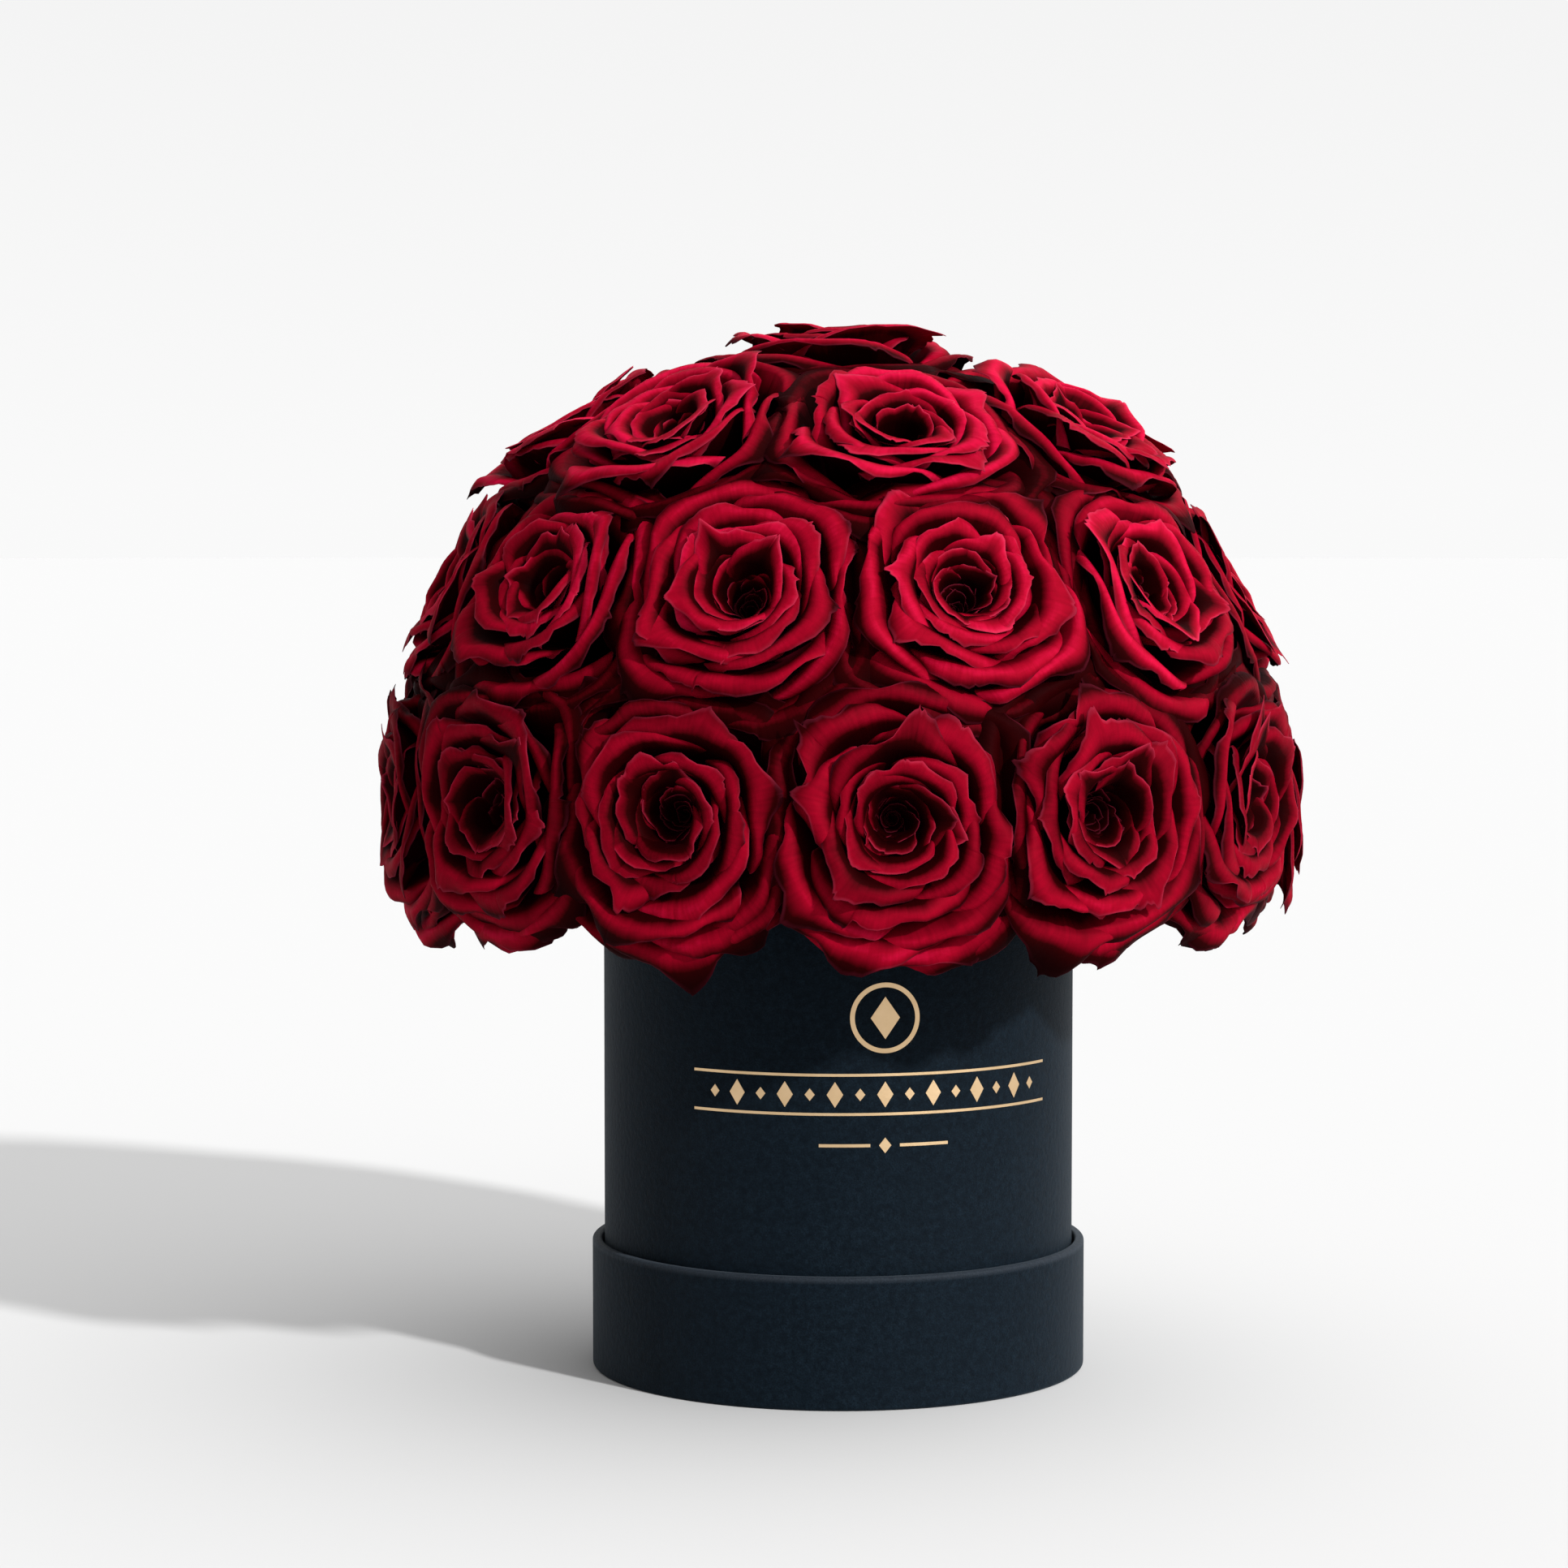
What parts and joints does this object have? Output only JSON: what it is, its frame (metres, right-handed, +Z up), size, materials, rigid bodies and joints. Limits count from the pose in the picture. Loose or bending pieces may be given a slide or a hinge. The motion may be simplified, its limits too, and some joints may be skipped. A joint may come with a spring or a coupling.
{
  "type": "flower box",
  "caption": "Round paper-covered hat box standing in its own lid, filled with foam that carries a full dome of large rose blooms on picks.",
  "frame": {"origin": "centre of the lid's underside, on the surface that the box stands on", "axes": "+Z up along the box's axis; the front, with the foil ornament, faces -Y"},
  "size_m": [0.2412, 0.2413, 0.272],
  "materials": {
    "greyboard": "matt solid greyboard, covered everywhere by paper",
    "cover_paper": "matt blue-black covering paper with a fine grain",
    "lining_paper": "matt dark lining paper",
    "gold_foil": "satin hot-stamped pale gold foil",
    "foam": "dark dyed floral foam, open and dusty",
    "wood": "raw turned wood",
    "sepals": "dull green leaf",
    "petals": "velvety crimson petal with thinner, lighter edges"
  },
  "bodies": {
    "lid": {"lid_panel": "greyboard", "lid_band": "greyboard", "lid_cover_paper": "cover_paper", "lid_base_paper": "cover_paper", "lid_lining_paper": "cover_paper"},
    "box": {"box_tube": "greyboard", "box_floor": "greyboard", "box_cover_paper": "cover_paper", "box_base_paper": "cover_paper", "box_wall_lining": "lining_paper", "box_floor_lining": "lining_paper", "foil_ornament": "gold_foil"},
    "bouquet": {"foam_core": "foam", "foam_dome": "foam", "core_skewers": "wood", "picks_lower": "wood", "picks_middle": "wood", "picks_upper": "wood", "picks_top": "wood", "calyxes_lower": "sepals", "calyxes_middle": "sepals", "calyxes_upper": "sepals", "calyxes_top": "sepals", "rose_lower_1": "petals", "rose_lower_2": "petals", "rose_lower_3": "petals", "rose_lower_4": "petals", "rose_lower_5": "petals", "rose_lower_6": "petals", "rose_lower_7": "petals", "rose_lower_8": "petals", "rose_lower_9": "petals", "rose_lower_10": "petals", "rose_lower_11": "petals", "rose_lower_12": "petals", "rose_lower_13": "petals", "rose_middle_1": "petals", "rose_middle_2": "petals", "rose_middle_3": "petals", "rose_middle_4": "petals", "rose_middle_5": "petals", "rose_middle_6": "petals", "rose_middle_7": "petals", "rose_middle_8": "petals", "rose_middle_9": "petals", "rose_middle_10": "petals", "rose_middle_11": "petals", "rose_upper_1": "petals", "rose_upper_2": "petals", "rose_upper_3": "petals", "rose_upper_4": "petals", "rose_upper_5": "petals", "rose_upper_6": "petals", "rose_upper_7": "petals", "rose_top_1": "petals"}
  },
  "joints": [
    {"name": "box_lift", "type": "slide", "parent": "lid", "child": "box", "axis": [0, 0, 1], "range_m": [0, 0.06]},
    {"name": "bouquet_lift", "type": "slide", "parent": "box", "child": "bouquet", "axis": [0, 0, 1], "range_m": [0, 0.14]}
  ]
}
